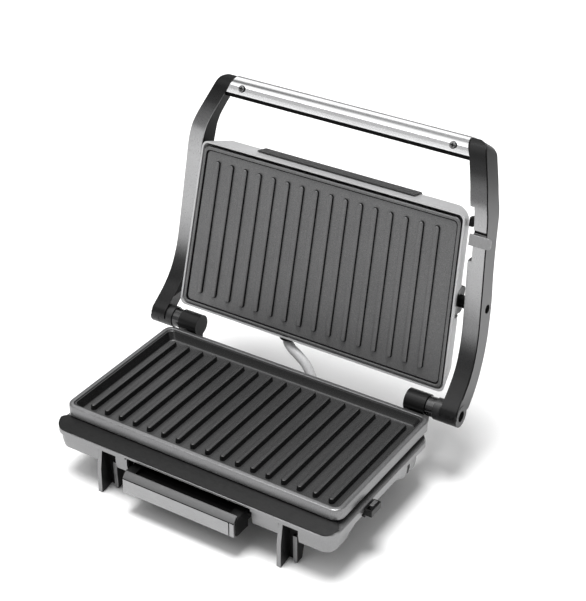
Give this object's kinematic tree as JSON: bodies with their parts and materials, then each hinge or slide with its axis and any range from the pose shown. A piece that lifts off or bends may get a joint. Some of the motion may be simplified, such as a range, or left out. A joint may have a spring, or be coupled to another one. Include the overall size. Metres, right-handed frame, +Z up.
{
  "type": "panini press",
  "caption": "Ribbed contact grill shown open: a housing on legs with a lower plate and drip tray, and a floating upper plate carried by two curved arms with a bar handle.",
  "frame": {"origin": "on the table under the middle of the whole object's box, with the lid open as in the picture", "axes": "+X to the press's right-hand side seen from the front, +Y to its back, +Z up"},
  "size_m": [0.267, 0.2316, 0.2387],
  "materials": {
    "silver_paint": "silver paint, satin",
    "lid_silver": "silver-grey plastic, satin",
    "fascia_grey": "dark grey, brushed",
    "black_plastic": "black, fine texture",
    "rim_alloy": "cast, grey coating",
    "non_stick": "dark grey non-stick coating, glossy rib tops",
    "rod_steel": "heat-darkened",
    "steel": "brushed",
    "polished_ring": "polished",
    "rubber": "matt black",
    "arm_alloy": "grey metallic coat, brushed",
    "arm_trim": "brushed",
    "slider_grey": "metallic grey",
    "gloss_black": "gloss black",
    "lamp_red": "clear red lens",
    "lamp_green": "clear green lens",
    "lead_grey": "light grey sleeve",
    "ceramic": "unglazed ceramic"
  },
  "bodies": {
    "base": {"base_housing": "silver_paint", "front_fascia": "fascia_grey", "plate_bezel": "black_plastic", "lower_rim": "rim_alloy", "lower_plate": "non_stick", "lower_element": "rod_steel", "lower_heat_shield": "steel", "bottom_cover": "black_plastic", "front_leg_right": "silver_paint", "front_leg_left": "silver_paint", "rear_leg_right": "black_plastic", "rear_leg_left": "black_plastic", "rear_foot_right": "rubber", "rear_foot_left": "rubber", "hinge_barrel_right": "black_plastic", "hinge_barrel_left": "black_plastic", "hinge_ring_right": "polished_ring", "hinge_ring_left": "polished_ring", "hinge_pin_right": "steel", "hinge_pin_left": "steel", "catch_guide": "black_plastic", "hinge_lead": "lead_grey", "lead_gland_base": "black_plastic", "cord_inlet": "black_plastic", "terminal_block": "ceramic", "thermostat": "ceramic", "base_screw_1": "steel", "base_screw_2": "steel", "base_screw_3": "steel", "base_screw_4": "steel"},
    "arms": {"arm_right": "arm_alloy", "arm_left": "arm_alloy", "arm_trim_lower_right": "arm_trim", "arm_trim_lower_left": "arm_trim", "arm_trim_upper_right": "arm_trim", "arm_trim_upper_left": "arm_trim", "arm_liner_right": "black_plastic", "arm_liner_left": "black_plastic", "handle_cover": "steel", "handle_core": "black_plastic", "handle_screw_right": "steel", "handle_screw_left": "steel", "pivot_screw_right": "steel", "pivot_screw_left": "steel"},
    "lid": {"lid_cover": "lid_silver", "upper_plate": "non_stick", "upper_element": "rod_steel", "upper_heat_shield": "steel", "control_inlay": "gloss_black", "lamp_power": "lamp_red", "lamp_ready": "lamp_green", "pivot_bush_right": "black_plastic", "pivot_bush_left": "black_plastic", "lid_bumper_right": "rubber", "lid_bumper_left": "rubber", "lead_gland_lid": "black_plastic"},
    "tray": {"drip_tray": "black_plastic", "tray_front": "silver_paint"},
    "slider": {"lock_slider": "slider_grey"},
    "catch": {"side_catch": "silver_paint"}
  },
  "joints": [
    {"name": "lid_hinge", "type": "hinge", "parent": "base", "child": "arms", "pos_m": [0, 0.0434, 0.056], "axis": [1, 0, 0], "range_deg": [0, 102.9], "deforming": ["hinge_lead"]},
    {"name": "lid_tilt", "type": "hinge", "parent": "arms", "child": "lid", "pos_m": [0, 0.08272, 0.1235], "axis": [1, 0, 0], "range_deg": [-3, 3]},
    {"name": "tray_slide", "type": "slide", "parent": "base", "child": "tray", "axis": [0, -1, 0], "range_m": [0, 0.09]},
    {"name": "lock_slide", "type": "slide", "parent": "arms", "child": "slider", "axis": [0.0602, -0.1487, -0.987], "range_m": [0, 0.01]},
    {"name": "catch_slide", "type": "slide", "parent": "base", "child": "catch", "axis": [0, -1, 0], "range_m": [0, 0.003]}
  ]
}
